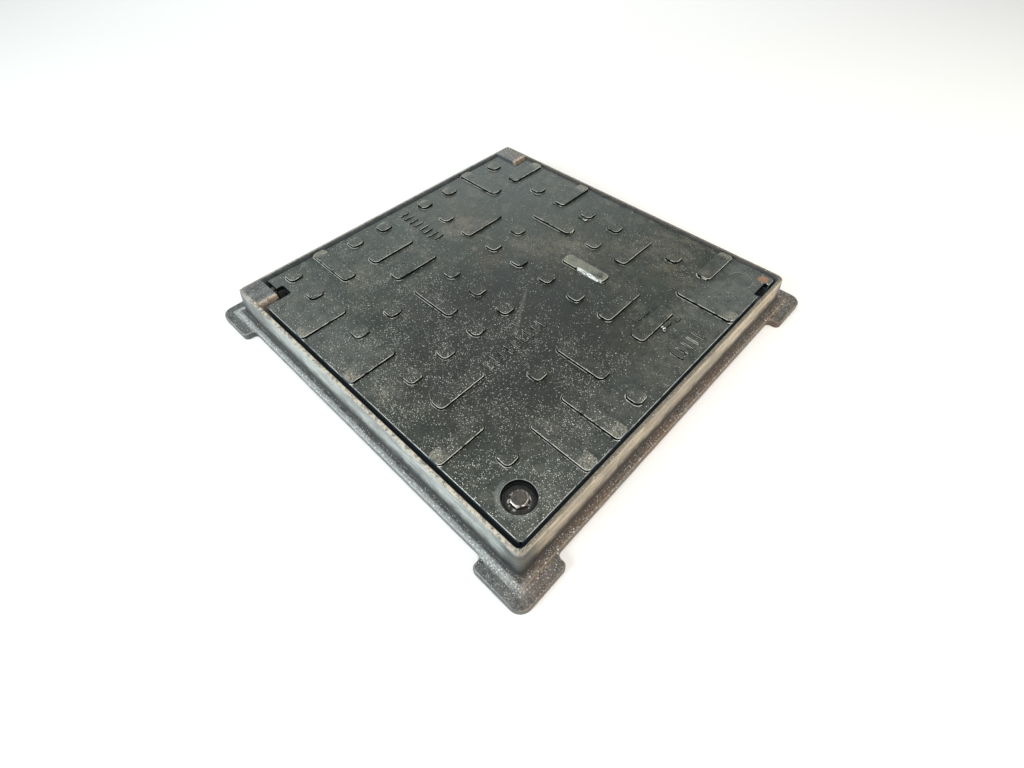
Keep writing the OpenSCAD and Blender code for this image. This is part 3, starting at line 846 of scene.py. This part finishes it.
noise.seed_set(7)                      # the same waves on every run
uneven(casting, 0.55, 0.5, frame_weight)
finish_piece(casting, FRAME_IRON, "frame", "frame")

# %% [markdown]
# ## The lid
# The lid is a square plate with a deep rib round its edge. Its outline has a corner cut out for each
# hinge housing and two slots for lifting keys. The block is built from that outline, and the same
# outline moved in makes the hollow underneath, so the edge rib has an even thickness everywhere. The
# hollow leaves flats that run right round it, which a renderer may fill wrongly, so they are split.

# %% The lid's outline and block
LID_FOOT = lid_low[2]
CUT_X, CUT_Y = -212.7, 232.0           # where the corners are cut out for the housings
SLOT_A, DEEP_A, ROUND_A = -235.5, 9.8, 3           # key slot beside a housing: end, depth, corners
SLOT_B, DEEP_B, ROUND_B = (211.0, 242.0), 6.3, 2   # key slot in the opposite edge
LID_CORNER = 6.0
SKIRT = 8.0                            # thickness of the edge rib
PLATE_FOOT = FACE - 7.0
SPLIT = (30, 30)                       # where the flats are split, between two ribs


def lid_outline():
    h, r, a, b = LID_HALF, LID_CORNER, ROUND_A, ROUND_B
    points = [(h, -h + r), (h, SLOT_B[0]), *arc((h - DEEP_B + b, SLOT_B[0] + b), b, 270, 180, 4)]
    points += [*arc((h - DEEP_B + b, SLOT_B[1] - b), b, 180, 90, 4), (h, SLOT_B[1])]
    points += arc((h - r, h - r), r, 0, 90, 7)
    points += [(CUT_X, h), (CUT_X, CUT_Y), (-h, CUT_Y)]
    points += [(-h, -CUT_Y), (SLOT_A, -CUT_Y)]
    points += [*arc((SLOT_A + a, -CUT_Y + DEEP_A - a), a, 180, 90, 4)]
    points += [*arc((CUT_X - a, -CUT_Y + DEEP_A - a), a, 90, 0, 4), (CUT_X, -h)]
    points += arc((h - r, -h + r), r, 270, 355, 7)
    return np.array(points) + (0, LID_Y)


edge_line = lid_outline()
lid = solid("lid_casting", stack(edge_line, [
    (1.2, LID_FOOT), (0.4, LID_FOOT + 0.6), (0.15, LID_FOOT + 1.6), (0, FACE - 1.3),
    (0.12, FACE - 0.7), (0.45, FACE - 0.22), (0.85, FACE - 0.04), (1.25, FACE)]))
hollow = stack(edge_line, [(SKIRT - 1.2, LID_FOOT - 1), (SKIRT, PLATE_FOOT - 2),
                           (SKIRT + 0.7, PLATE_FOOT - 0.6), (SKIRT + 2.2, PLATE_FOOT)])
combine(lid, solid("hollow", hollow), "DIFFERENCE")
split_flats(lid, *SPLIT)
print("lid block:", len(lid.data.polygons), "faces")

# %% [markdown]
# Ribs cross the underside both ways and make it stiff. One rib is drawn with draft on its sides, and
# the row tree repeats it along X and then along Y. They go on one way at a time, so that each row is a
# clean solid before it is joined, and the two rows end at heights of their own, so no faces coincide.

# %% Ribs and bosses
RIB_COUNT = 7
RIB_HALF = 3.6                         # half of a rib's thickness, at its root
RIB_RISE = (0.3, 0.6)                  # how far above the skirt's foot the ribs end, each way
rib_reach = LID_HALF - SKIRT
rib_step = 2 * rib_reach / (RIB_COUNT + 1)
for turn in (0, 1):
    rib = rounded((-RIB_HALF, -rib_reach - 3), (RIB_HALF, rib_reach + 3), 1.2, arc=2)
    foot = LID_FOOT + RIB_RISE[turn]
    rib = solid("rib", stack(rib, [(1.9, foot), (1.2, foot + 0.5), (0.9, foot + 1.4),
                                   (0, PLATE_FOOT + 0.8)]))
    start = [-rib_reach + rib_step, 0.0]
    step = [rib_step, 0.0]
    ribs = grown(rib, ROW, {
        "Count": RIB_COUNT, "Start": (start[turn] * MM, (start[1 - turn] + LID_Y) * MM, 0.0),
        "Step": (step[turn] * MM, step[1 - turn] * MM, 0.0), "Turn": turn * math.pi / 2,
        "Finish": LID_IRON})
    combine(lid, ribs)
BOSS = 27.0                            # radius of the bosses under the lock and a blank circle
for centre in (LOCK[:2], BLANKS[0]):
    combine(lid, solid("boss", stack(circle(centre, BOSS), [
        (1.2, LID_FOOT), (0.35, LID_FOOT + 0.35), (0, LID_FOOT + 1.2), (-1.2, PLATE_FOOT + 0.5)])))
print("lid with ribs and bosses:", len(lid.data.polygons), "faces")

# %% [markdown]
# ## The anti-slip pattern
# Studs and bars stand on a grid of ten columns and eight rows. The chart reads like the lid seen from
# above: `o` is a stud, `>` and `v` are bars over two cells, and `w`, `e`, `n` and `s` are bars that run
# out to an edge. Every mark becomes one point that says how far its two ends are pulled.

# %% Chart of the pattern
CHART = ["ononoovon.", ".w.>.o..e.", "o.vo.>.vv.", "oo.oooo...",
         "ovvooo.>.o", "o..>.o.oe.", ".w.o.ov.e.", "oososo.so."]
STUD, STUD_CORNER = 10.25, 6.5         # half a stud's side, and the radius of its corners
PITCH = 53.0
COLUMN_0 = -LID_HALF + 21.5
ROWS = [201, 148, 95, 42, -42, -95, -148, -201]


def chart_points():
    places, lows, highs = [], [], []
    for r, line in enumerate(CHART):
        for c, mark in enumerate(line):
            if mark == ".":
                continue
            x, y, last = COLUMN_0 + c * PITCH, ROWS[r], LID_HALF - STUD
            low, high = {"o": ((0, 0), (0, 0)), ">": ((0, 0), (PITCH, 0)), "v": ((0, -PITCH), (0, 0)),
                         "w": ((-last - x, 0), (0, 0)), "e": ((0, 0), (last - x, 0)),
                         "n": ((0, 0), (0, last - y)), "s": ((0, -last - y), (0, 0))}[mark]
            places.append((x, y + LID_Y, 0))
            lows.append((*low, 0))
            highs.append((*high, 0))
    return [np.array(values, float) * MM for values in (places, lows, highs)]


places, lows, highs = chart_points()
cells = bpy.data.meshes.new("pattern")
cells.from_pydata(places, [], [])
for name, values in (("centre", places), ("low end", lows), ("high end", highs)):
    layer = cells.attributes.new(name, "FLOAT_VECTOR", "POINT")
    layer.data.foreach_set("vector", values.astype(np.float32).ravel())
print(len(places), "studs and bars")

# %% [markdown]
# One stud: a skirt of fillet where it meets the plate, sides with draft, a soft upper edge and a nearly
# flat top. The tree copies it to every point, sinks each by a random hair and pulls the ends out.

# %% Studs and bars
stud = solid("stud", stack(rounded((-STUD, -STUD), (STUD, STUD), STUD_CORNER, arc=7), [
    (-1.9, FACE - 0.6), (-1.7, FACE + 0.02), (-0.8, FACE + 0.14), (-0.3, FACE + 0.40), (0, FACE + 0.95),
    (0.18, TOP - 0.85), (0.30, TOP - 0.42), (0.55, TOP - 0.15), (0.90, TOP - 0.03), (1.4, TOP)]))
pattern = bpy.data.objects.new("pattern", cells)
bpy.context.scene.collection.objects.link(pattern)
grown(pattern, STUDS, {"Stud": stud, "Unevenness": 0.12 * MM, "Seed": 4, "Finish": LID_IRON})
bpy.data.objects.remove(stud)
trim = solid("trim", stack(edge_line, [
    (0, FACE - 3), (0, FACE - 0.3), (0.2, TOP - 1.2), (0.9, TOP + 0.4)]))
combine(pattern, trim, "INTERSECT")
combine(lid, pattern)
print("lid with its pattern:", len(lid.data.polygons), "faces")

# %% [markdown]
# The mould was not perfect: sand broke away beside some bars and left small lumps and a ridge, and one
# bar has lost part of its side. The lumps are low domes, and the chips are the same domes cut out.

# %% Casting flaws
def dome(x, y, half_x, half_y, low, high, slope):
    outline = rounded((x - half_x, y + LID_Y - half_y), (x + half_x, y + LID_Y + half_y),
                      min(half_x, half_y) * 0.8, arc=5)
    jolt = np.array([noise.noise(Vector((px * 0.6, py * 0.6, 3.0))) for px, py in outline])
    centre = np.array((x, y + LID_Y))
    outline = centre + (outline - centre) * (1 + 0.35 * jolt[:, None])
    return solid("flaw", [
        laid(centre + (outline - centre) * (1 - slope * taper), low + (high - low) * rise)
        for taper, rise in ((0, 0), (0.15, 0.6), (0.45, 0.9), (1, 1))])


LUMPS = [                              # x, y, half its size each way, height
    (199.5, 78, 4, 9, 2.6), (203, 70, 3, 4, 1.6), (169, 72, 1.4, 12, 1.3), (163, 57, 6, 1.6, 1.0),
    (-25, 187, 9, 3.2, 2.2), (-17, 150, 3.4, 6, 2.8), (-82, 188, 8, 2.4, 1.2),
    (188, 192, 6, 3, 2.0), (206, 98, 2.4, 6, 0.9)]
for x, y, half_x, half_y, height in LUMPS:
    combine(lid, dome(x, y, half_x, half_y, FACE - 1, FACE + height, 0.7))
CHIPS = [                              # x, y, half its size each way
    (52, 84.6, 7, 1.8), (63, 84.2, 6, 2.4), (74, 84.8, 6, 2.0), (84, 85.0, 4, 1.5), (45, 85.2, 3, 1.0)]
for x, y, half_x, half_y in CHIPS:
    combine(lid, dome(x, y, half_x, half_y, TOP + 0.5, FACE + 0.5, 0.5), "DIFFERENCE")
print("lid with its flaws:", len(lid.data.polygons), "faces")

# %% [markdown]
# Three rows of plain strokes stand where such a lid carries its markings. Each stroke lies across its
# row, and the row tree repeats it, so a row is set by its count and its middle alone.

# %% Strokes
STROKE, STROKE_STEP = np.array((2.25, 8.5)), 12.0      # half a stroke, along and across its row
stroke_rows = [(8, (COLUMN_0 + 3.25 * STROKE_STEP, 0), np.array((1, 0))),
               (9, (COLUMN_0 + 6 * PITCH, ROWS[5] + 2 * STROKE[1]), np.array((0, 1))),
               (5, (COLUMN_0 + 9 * PITCH, (ROWS[2] + ROWS[3]) / 2), np.array((0, 1)))]
for count, middle, way in stroke_rows:
    half = STROKE if way[0] else STROKE[::-1]
    stroke = solid("stroke", stack(rounded(-half, half, 0.8, arc=2), [
        (-0.8, FACE - 0.6), (-0.7, FACE + 0.02), (-0.1, FACE + 0.35), (0.12, FACE + 1.3),
        (0.35, FACE + 1.65), (0.75, FACE + 1.8)]))
    start = middle - (count - 1) / 2 * STROKE_STEP * way
    combine(lid, grown(stroke, ROW, {
        "Count": count, "Start": (start[0] * MM, (start[1] + LID_Y) * MM, 0.0),
        "Step": (way[0] * STROKE_STEP * MM, way[1] * STROKE_STEP * MM, 0.0), "Turn": 0.0,
        "Finish": LID_IRON}))
print("lid with its strokes:", len(lid.data.polygons), "faces")

# %% [markdown]
# The bolt sits in a round recess with a softened lip, and a hole goes on down through its boss. Two
# blank circles are cast where a lock could be fitted instead. Trunnions stand out from the edge rib.

# %% Recess, blanks and trunnions
RECESS, HOLE, BLANK = 19.0, 6.5, 17.0  # radii
RECESS_FLOOR = box_mm("bolt_washer")[0][2] - 0.3
combine(lid, solid("recess", stack(circle(LOCK[:2], RECESS, 72), [
    (1.2, RECESS_FLOOR), (0.3, RECESS_FLOOR + 0.4), (0, RECESS_FLOOR + 1.2), (0, FACE - 1.4),
    (-0.2, FACE - 0.7), (-0.7, FACE - 0.15), (-1.3, FACE + 0.1), (-1.3, TOP + 1)])), "DIFFERENCE")
combine(lid, solid("hole", stack(circle(LOCK[:2], HOLE), [(0, LID_FOOT - 1), (0, TOP)])), "DIFFERENCE")
for centre in BLANKS:
    blank = stack(circle(centre, BLANK, 64), [(1.3, FACE - 1.1), (0.5, FACE - 0.95), (0, FACE - 0.5),
                                              (-0.4, FACE + 0.05), (-0.4, TOP + 1)])
    combine(lid, solid("blank", blank), "DIFFERENCE")
for side in (-1, 1):
    start, end = side * (CUT_Y - SKIRT / 2), side * (LID_HALF - 1)
    steps = [(0, start), (0, end - side * 1.0), (1.0, end)]
    pin = [stood(inset(circle((hinge[0], hinge[2]), PIN), d), y + LID_Y) for d, y in steps]
    combine(lid, solid("trunnion", pin))


def pattern_weight(place):
    return 1.0 if place.z > (FACE + 0.3) * MM else 0.0


uneven(lid, 0.3, 0.35, pattern_weight)
finish_piece(lid, LID_IRON, "lid", "lid")

# %% [markdown]
# ## The lock
# The bolt's head is a hexagon with a turned chamfer: a hexagonal prism and a turned body share only
# their common part. Below are a round shank, a square that drives the cam, and a real screw thread.

# %% Bolt
HEAD_TOP, HEAD = bolt_high[2], 9.5
HEAD_FOOT = HEAD_TOP - 7.5
SPRING_FOOT, CAM_FOOT = 23.2, 12.0
SHANK, SQUARE = 6.0, 4.5               # the shank's radius, and half of the square's side
axis = LOCK[:2]
hexagon = circle(axis, HEAD / math.cos(math.pi / 6), 6)
head = solid("bolt_head", stack(hexagon, [(0.3, HEAD_FOOT), (0, HEAD_FOOT + 0.3), (0, HEAD_TOP)]))
turned_head = [(HEAD * 1.2, HEAD_FOOT - 1), (HEAD * 1.2, HEAD_TOP - 2.2), (HEAD * 1.02, HEAD_TOP - 0.9),
               (HEAD * 0.90, HEAD_TOP - 0.15), (HEAD * 0.84, HEAD_TOP), (HEAD * 0.4, HEAD_TOP)]
combine(head, solid("turned", [laid(circle(axis, r, 72), z) for r, z in turned_head]), "INTERSECT")
shank = [laid(circle(axis, SHANK), z) for z in (SPRING_FOOT, HEAD_FOOT + 0.5)]
combine(head, solid("shank", shank))
square = rounded(axis - SQUARE, axis + SQUARE, 0.5, arc=3)
combine(head, solid("square", stack(square, [(0, CAM_FOOT), (0, SPRING_FOOT + 0.02)])))
print("bolt head, shank and square:", len(head.data.polygons), "faces")

# %% [markdown]
# A thread is a stack of circles whose radius depends on the angle and the height together, so its crest
# climbs one pitch with every turn. The first turn tapers, so that a nut can start on it.

# %% Thread
THREAD, THREAD_PITCH, CORE = 4.0, 1.25, 0.7
around, levels = 32, 60
heights = np.linspace(bolt_low[2], CAM_FOOT + 0.5, levels)
turns = np.arange(around) / around
thread_rings = []
for z in heights:
    phase = (z / THREAD_PITCH - turns) % 1.0
    radius = THREAD - CORE * np.abs(2 * phase - 1)
    radius = np.minimum(radius, THREAD - 1.0 + (z - bolt_low[2]) * 1.2)
    thread_rings.append(laid(circle(axis, radius, around), z))
combine(head, solid("thread", thread_rings))
finish_piece(head, BOLT_STEEL, "lock", "lock_bolt", 25.0)

# %% [markdown]
# The washers, the cam and the nut are plain turned or flat parts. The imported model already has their
# exact shape, so they only need a finish.

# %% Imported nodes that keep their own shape
for node, material in (("bolt_washer", WASHER_STEEL), ("spring_washer", ZINC_STEEL),
                       ("lock_cam", CAM_IRON), ("lock_nut", ZINC_STEEL)):
    mesh = frame["nodes"][node].data
    mesh.materials.clear()
    mesh.materials.append(material)
print("CAD shapes kept: the two washers, the cam and the nut")

# %% [markdown]
# ## Floor, light and camera
# A plain pale floor and four broad soft lights: a cool one to the left, a warm one to the right, a wide
# one behind and one overhead. Little comes from the front, so the lock corner stays dark between them.

# %% Floor
floor = solid("floor", stack(rounded((-4000, -4000), (4000, 4000), 50, arc=3), [(0, -20), (0, -0.05)]))
pale = Iron("pale_floor")
cloud = pale.cloud(40.0, 3.0)
pale.colour = pale.tint(cloud, (0.86, 0.86, 0.86, 1), (0.88, 0.88, 0.88, 1))
floor.data.materials.append(pale.finish(0.9, cloud, 0.0001))

# %% [markdown]
# Area lights aimed at the middle of the lid. A broad source gives cast iron long soft highlights.

# %% Lights
def area_light(name, place, size, power, colour):
    data = bpy.data.lights.new(name, "AREA")
    data.shape = "RECTANGLE"
    data.size, data.size_y = size
    data.energy = power
    data.color = colour
    light = bpy.data.objects.new(name, data)
    light.location = place
    light.rotation_euler = (-Vector(place)).to_track_quat("-Z", "Y").to_euler()
    bpy.context.scene.collection.objects.link(light)


area_light("left_light", (-0.5, -2.2, 1.2), (1.6, 1.0), 50, (0.90, 0.98, 1.0))
area_light("right_light", (2.2, 0.6, 1.1), (1.4, 0.9), 32, (1.0, 0.90, 0.76))
area_light("back_light", (-2.3, 1.9, 1.25), (2.6, 0.9), 34, (0.92, 1.0, 0.98))
area_light("overhead_light", (0.5, -0.3, 2.6), (1.0, 1.0), 30, (1.0, 1.0, 0.96))
world = bpy.data.worlds.new("studio")
world.use_nodes = True
sky = world.node_tree.nodes["Background"].inputs
sky["Color"].default_value = (1.0, 1.0, 1.0, 1)
sky["Strength"].default_value = 0.40
bpy.context.scene.world = world
bpy.context.scene.view_settings.view_transform = "Standard"

# %% [markdown]
# The camera stands close above the lock corner with a wide lens, a little tilted, which is what makes
# the near corner large and the far sides run together.

# %% Camera
RIGHT = Vector((0.72125, 0.69259, -0.01118))
DOWN = Vector((0.54421, -0.57656, -0.60943))
AHEAD = Vector((-0.42853, 0.43347, -0.79276))
camera_data = bpy.data.cameras.new("camera")
camera_data.sensor_width = 36.0
camera_data.lens = 17.627
camera_data.clip_start = 0.01
camera = bpy.data.objects.new("camera", camera_data)
turn = Matrix((RIGHT, -DOWN, -AHEAD)).transposed()
camera.matrix_world = Matrix.Translation((0.37523, -0.38236, TOP * MM + 0.46763)) @ turn.to_4x4()
bpy.context.scene.collection.objects.link(camera)
bpy.context.scene.camera = camera
